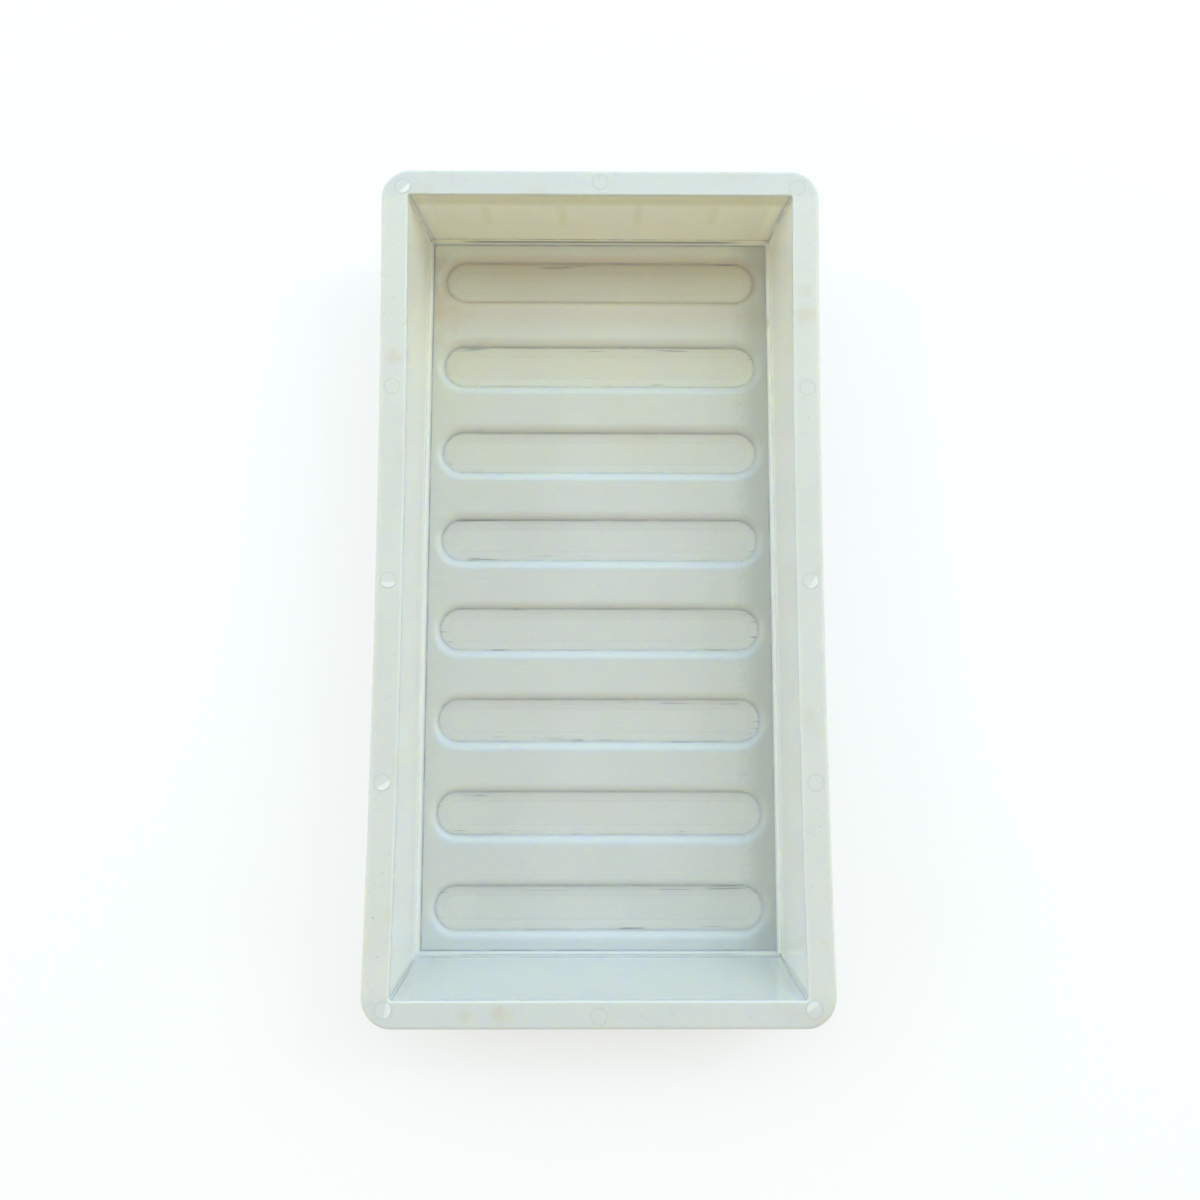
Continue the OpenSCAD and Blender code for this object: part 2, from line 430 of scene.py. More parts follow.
def gusset_plate(half_mouth, half_outer):
    """One plate as points (out, along, level): its outline twice over each face."""
    top_in = half_mouth + inner_u(rim_under) + wall_run
    foot_in = half_mouth + inner_u(gusset_foot) + wall_run
    outer = half_outer - skirt_t
    outline = [(foot_in, gusset_foot), (top_in, rim_under), (outer, rim_under), (outer, skirt_foot)]
    # The slanting edge is free and rounded; the others run into their neighbours.
    across = Vector((skirt_foot - gusset_foot, 0, foot_in - outer)).normalized() * GUSSET_EDGE
    trimmed = list(outline)
    trimmed[0] = (foot_in, gusset_foot - across.z)
    trimmed[3] = (outer, skirt_foot - across.z)
    half_t = GUSSET_T / 2
    contours = [
        [(u, -half_t, z) for u, z in trimmed],
        [(u, -half_t + GUSSET_EDGE, z) for u, z in outline],
        [(u, half_t - GUSSET_EDGE, z) for u, z in outline],
        [(u, half_t, z) for u, z in trimmed],
    ]
    verts = [p for contour in contours for p in contour]
    faces = [(0, 1, 2, 3), (12, 13, 14, 15)]
    for k in range(3):
        for j in range(4):
            n = (j + 1) % 4
            faces.append((4 * k + j, 4 * k + n, 4 * k + 4 + n, 4 * k + 4 + j))
    return verts, faces


def gusset_pieces(material):
    """A row of gussets under each side of the rim."""
    for side in ("left", "right", "front", "back"):
        node = "gussets_" + side
        lo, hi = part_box(node)
        on_side = side in ("left", "right")
        sign = 1 if side in ("right", "back") else -1
        reach = hi.y - lo.y if on_side else hi.x - lo.x
        count = round((reach - GUSSET_T) / GUSSET_PITCH) + 1
        plate = gusset_plate(mouth_x, half_w) if on_side else gusset_plate(mouth_y, half_l)
        row = Shells()
        for i in range(count):
            at = (i - (count - 1) / 2) * GUSSET_PITCH
            if on_side:
                row.add([(sign * u, at + v, z) for u, v, z in plate[0]], plate[1])
            else:
                row.add([(at + v, sign * u, z) for u, v, z in plate[0]], plate[1])
        make_piece("tray_" + node, row.verts, row.faces, material, [node])


# ---------------------------------------------------------------- floor and grooves

def stadium(r, z, yc):
    """Outline of a groove's shape with end radius r, round from its front left."""
    points = []
    for i in range(STRAIGHT_SEGS):
        points.append((groove_run * (2 * i / STRAIGHT_SEGS - 1), yc - r, z))
    for i in range(2 * QUARTER_SEGS):
        a = math.radians(-90 + 90 * i / QUARTER_SEGS)
        points.append((groove_run + r * math.cos(a), yc + r * math.sin(a), z))
    for i in range(STRAIGHT_SEGS):
        points.append((groove_run * (1 - 2 * i / STRAIGHT_SEGS), yc + r, z))
    for i in range(2 * QUARTER_SEGS):
        a = math.radians(90 + 90 * i / QUARTER_SEGS)
        points.append((-groove_run + r * math.cos(a), yc + r * math.sin(a), z))
    return points


def cell_edge(x_edge, y0, y1, yc, z):
    """Rectangle round a groove, with one point for each point of its stadium."""
    half = QUARTER_SEGS // 2
    side = []
    for i in range(QUARTER_SEGS):
        if i < half:
            side.append((groove_run + (x_edge - groove_run) * i / half, y0))
        else:
            side.append((x_edge, y0 + (yc - y0) * (i - half) / half))
    for i in range(QUARTER_SEGS):
        if i < half:
            side.append((x_edge, yc + (y1 - yc) * i / half))
        else:
            side.append((x_edge - (x_edge - groove_run) * (i - half) / half, y1))
    steps = [groove_run * (2 * i / STRAIGHT_SEGS - 1) for i in range(STRAIGHT_SEGS)]
    points = [(x, y0) for x in steps] + side
    points += [(-x, y1) for x in steps]
    points += [(-x, y0 + y1 - y) for x, y in side]
    return [(x, y, z) for x, y in points]


def shoulder_section(below, tuck=0.0, turn_from=0.0):
    """Points from the flat floor to the steepest line, on the top or below."""
    r = SHOULDER_R - wall_t + tuck if below else SHOULDER_R - tuck
    turn = math.degrees(side_angle)
    start = 90 + turn_from * turn
    return arc(tile_r, floor_top - SHOULDER_R, r, start, 90 + turn, SHOULDER_SEGS)


def hollow_section(below, tuck=0.0, turn_to=1.0):
    """Points from the steepest line to the bottom, on the top or below."""
    r = HOLLOW_R + wall_t - tuck if below else HOLLOW_R + tuck
    turn = math.degrees(side_angle)
    end = turn * (1 - turn_to) - 90
    return arc(flat_r, wall_t + HOLLOW_R, r, turn - 90, end, HOLLOW_SEGS)


def groove_middle(name):
    """Where a groove's middle line lies along the tray."""
    lo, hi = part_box(name)
    return (lo.y + hi.y) / 2


def floor_cell(x_edge, y0, y1, yc, first, last):
    """Floor round one groove, which is open towards the cells next to it."""
    out0 = y0 - FLOOR_TONGUE if first else y0
    out1 = y1 + FLOOR_TONGUE if last else y1
    wide = tile_r + 1 * MM
    contours = [
        cell_edge(x_edge + FLOOR_TONGUE, out0, out1, yc, floor_under + TUCK),
        cell_edge(x_edge + FLOOR_TONGUE, out0, out1, yc, floor_top - TUCK),
        cell_edge(x_edge, y0, y1, yc, floor_top - TUCK),
        cell_edge(x_edge, y0, y1, yc, floor_top),
        stadium(wide, floor_top, yc),
    ]
    section = shoulder_section(False) + hollow_section(False, TUCK, FLOOR_TONGUE_TURN)
    section += hollow_section(True, TUCK, FLOOR_TONGUE_TURN)[::-1]
    section += shoulder_section(True)[::-1]
    contours += [stadium(r, z, yc) for r, z in section]
    contours += [
        stadium(wide, floor_under, yc),
        cell_edge(x_edge, y0, y1, yc, floor_under),
        cell_edge(x_edge, y0, y1, yc, floor_under + TUCK),
    ]
    points, quads = loft(contours, closed_ring=True)
    # Faces in the plane between two cells are left out, so that the cells join.
    joins = [y for y, outer in ((y0, first), (y1, last)) if not outer]
    kept = [
        quad for quad in quads
        if not any(all(abs(points[v][1] - y) < SAME for v in quad) for y in joins)
    ]
    return points, kept


def floor_piece(material):
    """The flat floor with the rounded shoulders of its grooves."""
    x_edge, y_edge = mouth_x - foot_inset, mouth_y - foot_inset
    floor = Shells()
    for k, name in enumerate(groove_names):
        yc = groove_middle(name)
        first, last = k == 0, k == len(groove_names) - 1
        y0 = -y_edge if first else yc - groove_pitch / 2
        y1 = y_edge if last else yc + groove_pitch / 2
        floor.add(*floor_cell(x_edge, y0, y1, yc, first, last))
    make_piece("tray_floor", floor.verts, floor.faces, material, ["floor_panel"])


def groove_pieces(material):
    """The shallow pans of the grooves, from the steepest line of their sides inwards."""
    for name in groove_names:
        yc = groove_middle(name)
        top = [stadium(r, z, yc) for r, z in hollow_section(False)]
        for r in (DISH_EDGE + 0.5 * MM, DISH_EDGE - 0.5 * MM, DISH_EDGE / 2, 0.0):
            down = min(1.0, (flat_r - r) / (flat_r - DISH_EDGE))
            top.append(stadium(r, wall_t - DISH * down, yc))
        below = [stadium(r, z, yc) for r, z in hollow_section(True)]
        below += [stadium(flat_r * f, 0.0, yc) for f in (0.5, 0.0)]
        count = len(top[0])
        # A hidden tongue runs up inside the floor's shoulder.
        start = 1.0 - GROOVE_TONGUE_TURN
        tongue = shoulder_section(True, TUCK, start)[::-1]
        tongue += shoulder_section(False, TUCK, start)
        tongue = [stadium(r, z, yc) for r, z in tongue]
        verts, faces = loft(top + below[::-1] + tongue, closed_ring=True)
        # The two flat middles close on themselves, so nothing joins them.
        k = len(top) - 1
        faces = faces[:k * count] + faces[(k + 1) * count:]
        make_piece("tray_" + name, verts, faces, material, [name])


# ---------------------------------------------------------------- materials

CLEAN = (0.89, 0.895, 0.855, 1)         # natural polypropylene
CLOUDY = (0.87, 0.88, 0.83, 1)          # the same, where it is cloudy
WARM_BACK_SHADE = (0.90, 0.88, 0.70, 1)        # painted warm shade towards the back end
SHADE_GREY = (0.71, 0.74, 0.74, 1)            # painted shade: ends of the rim, front wall, outside of the walls
SKY_TINT = (0.66, 0.73, 0.80, 1)            # painted sky reflection beside the grooves, painted shade by the front wall
PAINTED_SHADOW = (0.68, 0.64, 0.42, 1)   # painted shadow of the skirt and gussets, through the back wall
GLINT_WHITE = (0.97, 0.97, 1.0, 1)         # painted glint on the pins' tilted slivers
EDGE_LIT = (0.96, 1.0, 0.92, 1)         # painted light that offsets light lost at seams, and lightens the side walls
DIRT_AND_SHADE = (0.30, 0.31, 0.28, 1)            # dark lines, grime and specks, and painted shade
BROWN_STAIN_AND_SHADE = (0.70, 0.60, 0.46, 1)           # faint brown stains, and painted shade at the back end
FLOOR_SHADE = 0.84                      # the floor's colour, as a share of CLEAN: painted shade
RIM_SHADE = 0.905                       # and the rim's, also painted shade
WALL_SHADE = 1.11                       # and the walls', which is painted light
PLASTIC_IOR = 1.49
POLISH_IOR = 1.8                        # of the walls' polish, which mirrors the floor
POLISH_ROUGHNESS = 0.02
SCATTER = (1.0, 0.80, 0.22)             # how much further red light travels than blue
SCATTER_LENGTH = 1.6 * MM


# A Mix node's sockets share their names between types, so the colours go by number.
MIX_COLOUR_A = 6
MIX_COLOUR_B = 7
MIX_RESULT_COLOUR = 2


class Plastic:
    """The tray's plastic as a node tree, with short ways to build its patterns."""

    def __init__(self, name):
        self.material = bpy.data.materials.new(name)
        self.material.use_nodes = True
        self.nodes = self.material.node_tree.nodes
        self.links = self.material.node_tree.links
        self.shader = self.nodes["Principled BSDF"]
        self.place = self.nodes.new("ShaderNodeTexCoord").outputs["Object"]
        split = self.nodes.new("ShaderNodeSeparateXYZ")
        self.links.new(self.place, split.inputs[0])
        self.x, self.y, self.z = split.outputs

    def put(self, value, socket):
        """Link a node's output to a socket, or set the socket to a number."""
        if isinstance(value, bpy.types.NodeSocket):
            self.links.new(value, socket)
        else:
            socket.default_value = value

    def math(self, operation, *values):
        """The result of a Math node on values, which are sockets or numbers."""
        node = self.nodes.new("ShaderNodeMath")
        node.operation = operation
        for value, socket in zip(values, node.inputs):
            self.put(value, socket)
        return node.outputs[0]

    def times(self, *values):
        """The product of the values."""
        total = values[0]
        for value in values[1:]:
            total = self.math("MULTIPLY", total, value)
        return total

    def most(self, *values):
        """The greatest of the values."""
        total = values[0]
        for value in values[1:]:
            total = self.math("MAXIMUM", total, value)
        return total

    def length(self, a, b):
        """Distance that a and b make along two axes."""
        squares = self.math("ADD", self.times(a, a), self.times(b, b))
        return self.math("SQRT", squares)

    def ease(self, value, start, end):
        """0 where value is at start and 1 at end, smoothly."""
        node = self.nodes.new("ShaderNodeMapRange")
        node.interpolation_type = "SMOOTHSTEP"
        self.put(value, node.inputs["Value"])
        node.inputs["From Min"].default_value = start
        node.inputs["From Max"].default_value = end
        return node.outputs["Result"]

    def band(self, value, middle, half):
        """1 where value is at middle, fading to 0 at half on each side of it."""
        off = self.math("ABSOLUTE", self.math("SUBTRACT", value, middle))
        return self.ease(off, half, 0.0)

    def noise(self, per_metre, detail=3.0, shift=0.0):
        """Noise with a number of waves per metre along each axis."""
        scaled = self.nodes.new("ShaderNodeVectorMath")
        scaled.operation = "MULTIPLY_ADD"
        self.links.new(self.place, scaled.inputs[0])
        scaled.inputs[1].default_value = per_metre
        scaled.inputs[2].default_value = (shift, shift, shift)
        node = self.nodes.new("ShaderNodeTexNoise")
        node.inputs["Scale"].default_value = 1.0
        node.inputs["Detail"].default_value = detail
        self.links.new(scaled.outputs[0], node.inputs["Vector"])
        return node.outputs["Fac"]

    def blend(self, factor, first, second):
        """Colour between two colours."""
        node = self.nodes.new("ShaderNodeMix")
        node.data_type = "RGBA"
        self.put(factor, node.inputs["Factor"])
        self.put(first, node.inputs[MIX_COLOUR_A])
        self.put(second, node.inputs[MIX_COLOUR_B])
        return node.outputs[MIX_RESULT_COLOUR]

    def groove_distance(self):
        """Distance from the nearest groove's middle line, and how far along +Y that is."""
        past = self.math("SUBTRACT", self.math("ABSOLUTE", self.x), groove_run)
        past = self.math("MAXIMUM", past, 0.0)
        shifted = self.math("ADD", self.y, groove_pitch * len(groove_names) / 2)
        across = self.math("FLOORED_MODULO", shifted, groove_pitch)
        across = self.math("SUBTRACT", across, groove_pitch / 2)
        return self.length(past, across), across

    def wall_gaps(self):
        """Distances in from the inner faces of the side walls and the end walls."""
        share = self.math("DIVIDE", self.y, arc_y)
        middle = self.math("MAXIMUM", self.math("SUBTRACT", 1.0, self.times(share, share)), 0.0)
        height = self.math("SUBTRACT", self.z, floor_top)
        height = self.math("DIVIDE", self.math("MAXIMUM", height, 0.0), rim_top - floor_top)
        factor = self.math("MULTIPLY_ADD", self.times(middle, height), -BOW / half_w, 1.0)
        x = self.math("DIVIDE", self.math("ABSOLUTE", self.x), factor)
        lean = self.times(self.math("SUBTRACT", rim_top, self.z), slope)
        gap_x = self.math("SUBTRACT", mouth_x, self.math("ADD", x, lean))
        y = self.math("ADD", self.math("ABSOLUTE", self.y), lean)
        return gap_x, self.math("SUBTRACT", mouth_y, y)

    def attribute(self, name):
        """A number that the mesh carries at each of its points."""
        node = self.nodes.new("ShaderNodeAttribute")
        node.attribute_name = name
        return node.outputs["Fac"]

    def mouth_gap(self):
        """Distance outside the mouth's edge, which bows in along the sides."""
        share = self.math("DIVIDE", self.y, arc_y)
        most_bow = BOW * mouth_x / half_w
        bow = self.math("MULTIPLY_ADD", self.times(share, share), -most_bow, most_bow)
        side = self.math("ADD", self.math("ABSOLUTE", self.x), bow)
        side = self.math("SUBTRACT", side, mouth_x)
        end = self.math("SUBTRACT", self.math("ABSOLUTE", self.y), mouth_y)
        return self.math("MAXIMUM", side, end)

    def back_groove_shade(self):
        """Painted shade: the groove nearest to the back end is browner than the rest."""
        r = self.groove_distance()[0]
        at_back = self.ease(self.y, groove_pitch * 3, groove_pitch * 3 + 5 * MM)
        side = self.ease(r, flat_r - 3 * MM, flat_r + 1 * MM)
        beyond = self.ease(r, groove_r + 6 * MM, groove_r + 1 * MM)
        return self.times(at_back, beyond, self.math("MULTIPLY_ADD", side, 0.50, 0.15))

    def gate_mark(self):
        """Faint spot where the plastic was let into the mould."""
        return self.times(self.ease(self.length(self.x, self.y), GATE_R, 0.0), 0.06)

    def blot(self, place, radius, strength):
        """A soft uneven spot on the rim or the floor."""
        dx = self.math("SUBTRACT", self.x, place[0])
        dy = self.math("SUBTRACT", self.y, place[1])
        waves = self.noise((90, 90, 90), 4.0, 1.0)
        uneven = self.math("MULTIPLY_ADD", waves, 2 * radius, self.length(dx, dy))
        return self.times(self.ease(uneven, 2.2 * radius, 0.9 * radius), strength)

    def colour(self, dirt_and_shade, stain_and_shade, shade, back_shade, painted_shade, through, sky_tint, painted_light):
        """Colour of the plastic, with each tint, mark, painted light and painted shade where its
        mask is 1.
        """
        cloud = self.ease(self.noise((16, 10, 16), 4.0), 0.36, 0.66)
        specks = self.times(self.ease(self.noise((520, 520, 520), 2.0, 7.0), 0.70, 0.78), 0.3)
        colour = self.blend(cloud, *(tuple(shade * c for c in tint) for tint in (CLEAN, CLOUDY)))
        # Painted warm shade towards the back end, where the back wall shades the floor.
        aged = self.ease(self.math("MULTIPLY_ADD", cloud, 0.03, self.y), 0.06, 0.21)
        yellow = tuple(shade * c for c in WARM_BACK_SHADE)
        colour = self.blend(self.times(aged, back_shade), colour, yellow)
        colour = self.blend(painted_shade, colour, SHADE_GREY)
        colour = self.blend(sky_tint, colour, SKY_TINT)
        colour = self.blend(through, colour, PAINTED_SHADOW)
        colour = self.blend(painted_light, colour, EDGE_LIT)
        colour = self.blend(stain_and_shade, colour, BROWN_STAIN_AND_SHADE)
        return self.blend(self.most(dirt_and_shade, specks), colour, DIRT_AND_SHADE)

    def surface(self, dirt_and_shade, roughness, peel):
        """Roughness, and the bump of the fine grain and of scratches along the grooves."""
        grain = self.noise((240, 240, 240), 4.0, 3.0)
        scratches = self.ease(self.noise((30, 1500, 30), 3.0, 11.0), 0.60, 0.72)
        rough = self.math("MULTIPLY_ADD", grain, 0.5 * roughness, 0.75 * roughness)
        rough = self.math("MULTIPLY_ADD", dirt_and_shade, 0.3, rough)
        rough = self.math("MULTIPLY_ADD", scratches, 0.08, rough)
        height = self.math("MULTIPLY_ADD", grain, 0.5, self.times(scratches, -0.15))
        bump = self.nodes.new("ShaderNodeBump")
        bump.inputs["Strength"].default_value = peel
        bump.inputs["Distance"].default_value = 0.2 * MM
        self.put(height, bump.inputs["Height"])
        self.put(rough, self.shader.inputs["Roughness"])
        self.put(bump.outputs["Normal"], self.shader.inputs["Normal"])

    def finish(self, dirt_and_shade, stain_and_shade, roughness, peel, shade=1.0, back_shade=0.8, painted_shade=0.0,
               through=0.0, sky_tint=0.0, painted_light=0.0):
        """Colour, surface and depth of the plastic. Returns the finished material."""
        colour = self.colour(dirt_and_shade, stain_and_shade, shade, back_shade, painted_shade, through, sky_tint, painted_light)
        self.put(colour, self.shader.inputs["Base Color"])
        self.surface(dirt_and_shade, roughness, peel)
        self.shader.inputs["IOR"].default_value = PLASTIC_IOR
        self.shader.inputs["Subsurface Weight"].default_value = 1.0
        self.shader.inputs["Subsurface Radius"].default_value = SCATTER
        self.shader.inputs["Subsurface Scale"].default_value = SCATTER_LENGTH
        return self.material


def floor_lines_and_shade(p, gap, r):
    """Dark lines round the grooves and along the foot of the walls, the gate's mark, and painted
    shade towards the right wall.
    """
    broken = p.ease(p.noise((45, 45, 45), 3.0, 5.0), 0.40, 0.60)
    rim_line = p.times(p.band(r, groove_r - 0.6 * MM, 1.0 * MM), 0.25)
    foot = p.band(gap, 0.3 * MM, 1.1 * MM)
    foot = p.times(foot, p.math("MULTIPLY_ADD", broken, 0.35, 0.25))
    # Painted shade: the floor is greyer towards the right wall.
    edge_x = mouth_x - foot_inset
    right = p.times(p.ease(p.x, edge_x - 30 * MM, edge_x - 8 * MM), 0.3)
    return p.most(rim_line, foot, p.gate_mark(), right)


def floor_stain_and_back_shade(p):
    """Faint stains, a warm spot, and painted shade at the back end of the floor."""
    stain_and_shade = p.times(p.ease(p.noise((22, 22, 22), 4.0, 9.0), 0.60, 0.80), 0.10)
    # Painted shade: a tan band along the back of the floor.
    tan = p.times(p.band(p.y, groove_pitch * 3 + 7 * MM, 20 * MM), 0.42)
    return p.most(stain_and_shade, p.blot(WARM_SPOT, WARM_REACH, 0.8), p.back_groove_shade(), tan)


def floor_material():
    """Floor: dark lines, stains, painted sky reflection by the grooves, painted shade and light."""
    p = Plastic("tray_floor_plastic")
    r, across = p.groove_distance()
    gap_x = p.math("SUBTRACT", mouth_x - foot_inset, p.math("ABSOLUTE", p.x))
    gap_y = p.math("SUBTRACT", mouth_y - foot_inset, p.math("ABSOLUTE", p.y))
    gap = p.math("MINIMUM", gap_x, gap_y)
    # Painted light: the floor is lighter by the back wall and along the foot of every wall.
    far = p.times(p.ease(p.y, floor_y - 24 * MM, floor_y - 6 * MM), 0.4)
    painted_light = p.most(far, p.times(p.ease(gap, 1.6 * MM, 0.0), 0.3))
    # Painted sky reflection beside each groove and painted shade by the front wall, in one cool
    # tint.
    sky_halo = p.band(r, groove_r + 3 * MM, 6 * MM)
    sky_halo = p.times(sky_halo, p.ease(across, -5 * MM, -11 * MM), 0.55)
    front = p.times(p.ease(p.y, SKY_TINT_FROM, SKY_TINT_FROM - 14 * MM), 0.4)
    sky_tint = p.times(p.most(sky_halo, front), p.ease(p.y, 0.19, 0.12))
    grime_and_shade = floor_lines_and_shade(p, gap, r)
    stain_and_shade = floor_stain_and_back_shade(p)
    return p.finish(grime_and_shade, stain_and_shade, 0.24, 0.10, FLOOR_SHADE, back_shade=0.45, sky_tint=sky_tint, painted_light=painted_light)


def groove_material():
    """Grooves: a dark line in the corner, scuffs along it, a faint line, painted shade by the back
    wall.
    """
    p = Plastic("tray_groove_plastic")
    r = p.groove_distance()[0]
    corner = flat_r + 0.8 * MM
    broken = p.ease(p.noise((35, 300, 35), 3.0, 5.0), 0.35, 0.60)
    line = p.times(p.band(r, corner, 1.1 * MM), p.math("MULTIPLY_ADD", broken, 0.25, 0.12))
    near = p.ease(r, flat_r - 4.5 * MM, flat_r - 0.5 * MM)
    streaks = p.ease(p.noise((16, 620, 40), 3.0, 2.0), 0.56, 0.66)
    patches = p.ease(p.noise((30, 90, 30), 2.0, 6.0), 0.46, 0.58)
    scuffs = p.times(near, streaks, patches, 0.75)
    inner = p.times(p.band(r, DISH_EDGE, 0.7 * MM), 0.10)
    stain_and_shade = p.times(p.ease(p.noise((20, 60, 20), 4.0, 9.0), 0.55, 0.80), 0.10)
    stain_and_shade = p.most(stain_and_shade, p.back_groove_shade())
    return p.finish(p.most(line, scuffs, inner), stain_and_shade, 0.24, 0.10, FLOOR_SHADE)


def wall_grime(p, gap_x, gap_y, into_corner, on_side):
    """Grime in the upright corners, dark lines along the foot, and scuffs on the side walls."""
    broken = p.ease(p.noise((60, 60, 60), 3.0, 5.0), 0.38, 0.62)
    corner = p.band(into_corner, 1.3 * MM, 0.6 * MM)
    corner = p.times(corner, p.math("MULTIPLY_ADD", broken, 0.55, 0.15))
    foot = p.band(p.z, floor_top + FOOT_R, 1.2 * MM)
    foot = p.times(foot, p.math("MULTIPLY_ADD", broken, 0.45, 0.30))
    # A dark line runs along the foot in the middle of both ends.
    at_end = p.times(p.ease(gap_y, 6 * MM, 3 * MM), p.ease(gap_x, 12 * MM, 40 * MM))
    end_line = p.band(p.z, floor_top + 0.9 * MM, 0.9 * MM)
    end_line = p.times(end_line, at_end, p.math("MULTIPLY_ADD", p.ease(p.y, 0.0, 0.1), 0.5, 0.4))
    low = p.ease(p.z, floor_top + 30 * MM, floor_top)
    high = p.ease(p.z, rim_top - 9 * MM, rim_top - 4 * MM)
    streaks = p.ease(p.noise((70, 22, 260), 3.0, 2.0), 0.65, 0.75)
    scuffs = p.times(streaks, on_side, p.math("MULTIPLY_ADD", p.most(low, high), 0.35, 0.05))
    return p.most(corner, foot, end_line, scuffs)


def back_wall_shadows(p):
    """Painted shadows of the rim's turned-down edge and of the gussets on the back wall."""
    at_back = p.ease(p.y, floor_y - 1 * MM, floor_y + 1 * MM)
    edge = p.ease(p.z, skirt_foot - 3 * MM, skirt_foot + 4 * MM)
    steps = p.math("FLOORED_MODULO", p.x, GUSSET_PITCH)
    plate = p.band(steps, GUSSET_PITCH / 2, 6 * MM)
    plate = p.times(plate, p.ease(p.z, gusset_foot - 6 * MM, gusset_foot + 6 * MM), 0.45)
    return p.times(at_back, p.most(edge, plate), 0.55)


def wall_painted_light(p, into_corner, on_side):
    """Painted light on the side walls, and where walls meet another piece."""
    seams = p.most(
        p.ease(p.z, rim_top - EDGE_R - 1.6 * MM, rim_top - EDGE_R),
        p.ease(p.z, floor_top + 1.2 * MM, floor_top + 0.2 * MM),
        p.ease(into_corner, 6 * MM, 2 * MM),
    )
    return p.times(p.most(seams, on_side), 0.4)


def wall_material():
    """Walls: polished and grimy on the inside, with painted shade on the outside and the front
    wall.
    """
    p = Plastic("tray_wall_plastic")
    gap_x, gap_y = p.wall_gaps()
    into_corner = p.math("MAXIMUM", gap_x, gap_y)
    inside = p.ease(p.math("MINIMUM", gap_x, gap_y), -1.6 * MM, -0.8 * MM)
    on_side = p.times(p.ease(gap_x, 14 * MM, 8 * MM), p.ease(gap_y, 4 * MM, 12 * MM))
    hollow = p.ease(p.z, floor_top + FOOT_R, floor_top + FOOT_R - 0.8 * MM)
    grime_and_shade = wall_grime(p, gap_x, gap_y, into_corner, on_side)
    # Painted shade dims the fillet at the foot.
    grime_and_shade = p.times(inside, p.most(grime_and_shade, p.times(hollow, 0.10)))
    stain_and_shade = p.times(p.ease(p.noise((22, 22, 22), 4.0, 9.0), 0.60, 0.80), 0.10)
    painted_light = p.times(inside, wall_painted_light(p, into_corner, on_side))
    # Painted shade on the front wall and on the outside of every wall.
    front = p.ease(p.y, -floor_y + 4 * MM, -floor_y - 1 * MM)
    painted_shade = p.most(front, p.math("MULTIPLY_ADD", inside, -0.85, 0.85))
    # Painted shadows of the skirt and gussets on the back wall.
    through = back_wall_shadows(p)
    material = p.finish(
        grime_and_shade, stain_and_shade, 0.09, 0.02, WALL_SHADE, painted_shade=painted_shade, through=through, painted_light=painted_light)
    # The walls kept the mould's polish, so that they mirror the floor.
    p.shader.inputs["Coat IOR"].default_value = POLISH_IOR
    p.shader.inputs["Coat Roughness"].default_value = POLISH_ROUGHNESS
    coat = p.math("MULTIPLY_ADD", p.ease(gap_x, 8 * MM, 14 * MM), 0.6, 0.4)
    coat = p.times(inside, coat, p.math("SUBTRACT", 1.0, hollow))
    p.put(coat, p.shader.inputs["Coat Weight"])
    return material


def rim_material():
    """Rim: matte, with faint brown stains, specks, painted shade at both ends and painted glints.
    """
    p = Plastic("tray_rim_plastic")
    stain_and_shade = p.times(p.ease(p.noise((30, 30, 30), 5.0, 9.0), 0.57, 0.75), 0.28)
    nicks = p.times(p.ease(p.noise((190, 190, 190), 3.0, 4.0), 0.73, 0.78), 0.5)
    edge = p.times(p.ease(p.z, skirt_foot + 1.5 * MM, skirt_foot), 0.3)
    # Painted shade towards both ends of the rim.
    ends = p.times(p.ease(p.math("ABSOLUTE", p.y), arc_y - 4 * MM, arc_y + 6 * MM), 0.5)
    stain_and_shade = p.most(stain_and_shade, *(p.blot(place, reach, 0.40) for place, reach in RIM_STAINS))
    specks = [p.blot(place, SPECK_R, 0.7) for place in RIM_SPECKS]
    grime_and_shade = p.most(nicks, edge, p.times(p.attribute("ring"), 0.16), *specks)
    # Painted light along the mouth's edge, where the rim meets the walls.
    painted_light = p.times(p.ease(p.mouth_gap(), 2.0 * MM, 0.2 * MM), 0.35)
    material = p.finish(
        grime_and_shade, stain_and_shade, 0.30, 0.12, RIM_SHADE, back_shade=0.1, painted_shade=ends, painted_light=painted_light)
    # Painted glint on the tilted slivers of the pin marks.
    white = p.times(p.attribute("sliver"), 0.6)
    colour = p.shader.inputs["Base Color"].links[0].from_socket
    p.put(p.blend(white, colour, GLINT_WHITE), p.shader.inputs["Base Color"])
    return material


def gusset_material():
    """Gussets: the same plastic with faint dust, and the painted warm shade at the back end."""
    p = Plastic("tray_gusset_plastic")
    dust = p.times(p.ease(p.noise((60, 60, 60), 3.0, 5.0), 0.45, 0.70), 0.12)
    return p.finish(dust, 0.0, 0.26, 0.10)


# ---------------------------------------------------------------- camera and studio

def camera():
    """The photograph's view: from above the tray, a little towards its front."""
    data = bpy.data.cameras.new("camera")
    data.lens = 25.5
    data.sensor_width = 36
    data.shift_y = -0.047
    cam = bpy.data.objects.new("camera", data)
    cam.location = (-0.0028, -0.0274, rim_top + 0.556)
    cam.rotation_euler = (0.0923, -0.0054, 0.0017)
    bpy.context.collection.objects.link(cam)
    bpy.context.scene.camera = cam


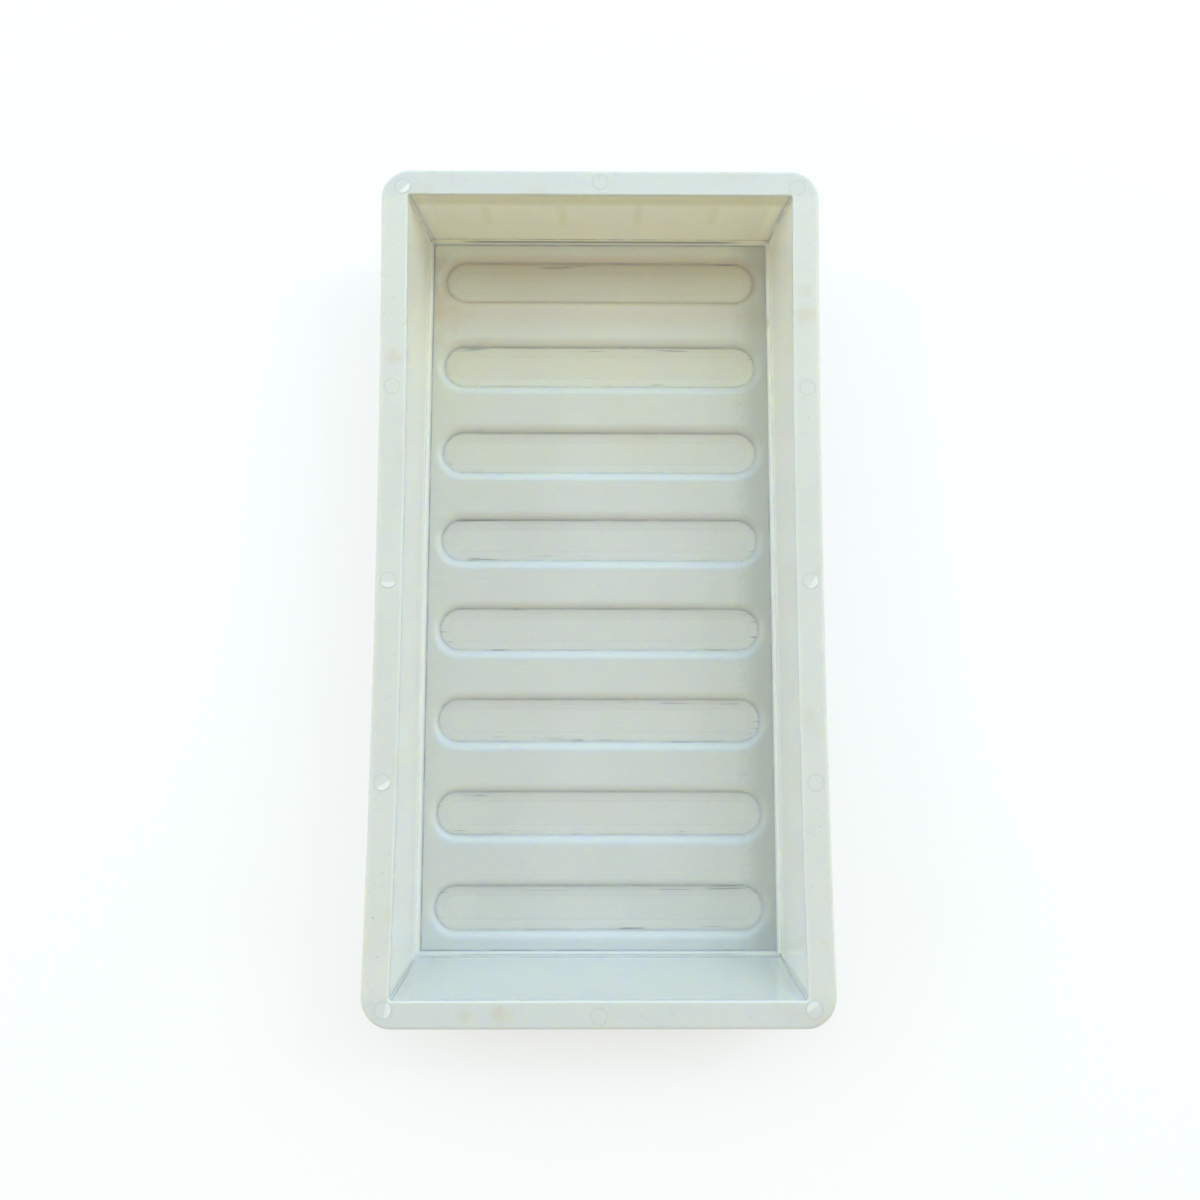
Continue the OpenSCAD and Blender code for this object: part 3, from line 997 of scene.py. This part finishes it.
def area_light(name, place, size, power, colour):
    """A soft rectangular light that faces the tray."""
    data = bpy.data.lights.new(name, "AREA")
    data.shape = "RECTANGLE"
    data.size, data.size_y = size
    data.energy = power
    data.color = colour
    lamp = bpy.data.objects.new(name, data)
    lamp.location = place
    lamp.rotation_euler = (-Vector(place)).to_track_quat("-Z", "Y").to_euler()
    bpy.context.collection.objects.link(lamp)


def lights():
    """Soft cool daylight from beyond the back end and both sides, and warm fill."""
    world = bpy.data.worlds.new("world")
    bpy.context.scene.world = world
    world.use_nodes = True
    background = world.node_tree.nodes["Background"]
    background.inputs["Color"].default_value = (0.98, 0.99, 0.95, 1)
    background.inputs["Strength"].default_value = 0.33
    area_light("window", (0.3, 3.6, 3.5), (10, 4.5), 232, (0.70, 0.89, 1.0))
    area_light("left", (-4.6, 0.6, 2.2), (5, 3), 80, (0.87, 1.0, 0.95))
    area_light("right", (4.6, 0.6, 2.2), (5, 3), 72, (0.87, 1.0, 0.95))
    area_light("lamp", (2.6, 2.4, 3.2), (0.5, 0.5), 12, (0.95, 0.98, 1.0))
    area_light("room", (-0.3, -4.0, 3.2), (10, 4.0), 58, (1.0, 0.84, 0.58))
    bpy.context.scene.view_settings.view_transform = "Standard"


def studio_floor():
    """A plain pale floor, faintly lit from within so that it comes out white."""
    reach = 4.0
    mesh = bpy.data.meshes.new("studio_floor")
    corners = [(-reach, -reach, 0), (reach, -reach, 0), (reach, reach, 0), (-reach, reach, 0)]
    mesh.from_pydata(corners, [], [(0, 1, 2, 3)])
    ground = bpy.data.objects.new("studio_floor", mesh)
    bpy.context.collection.objects.link(ground)
    ground.location.z = -0.5 * MM
    material = bpy.data.materials.new("studio_floor")
    material.use_nodes = True
    shader = material.node_tree.nodes["Principled BSDF"]
    shader.inputs["Base Color"].default_value = (0.55, 0.55, 0.55, 1)
    shader.inputs["Roughness"].default_value = 0.9
    shader.inputs["Emission Color"].default_value = (1, 1, 1, 1)
    shader.inputs["Emission Strength"].default_value = 0.48
    mesh.materials.append(material)


wall_pieces(wall_material())
rim_piece(rim_material())
floor_piece(floor_material())
groove_pieces(groove_material())
gusset_pieces(gusset_material())
camera()
lights()
studio_floor()
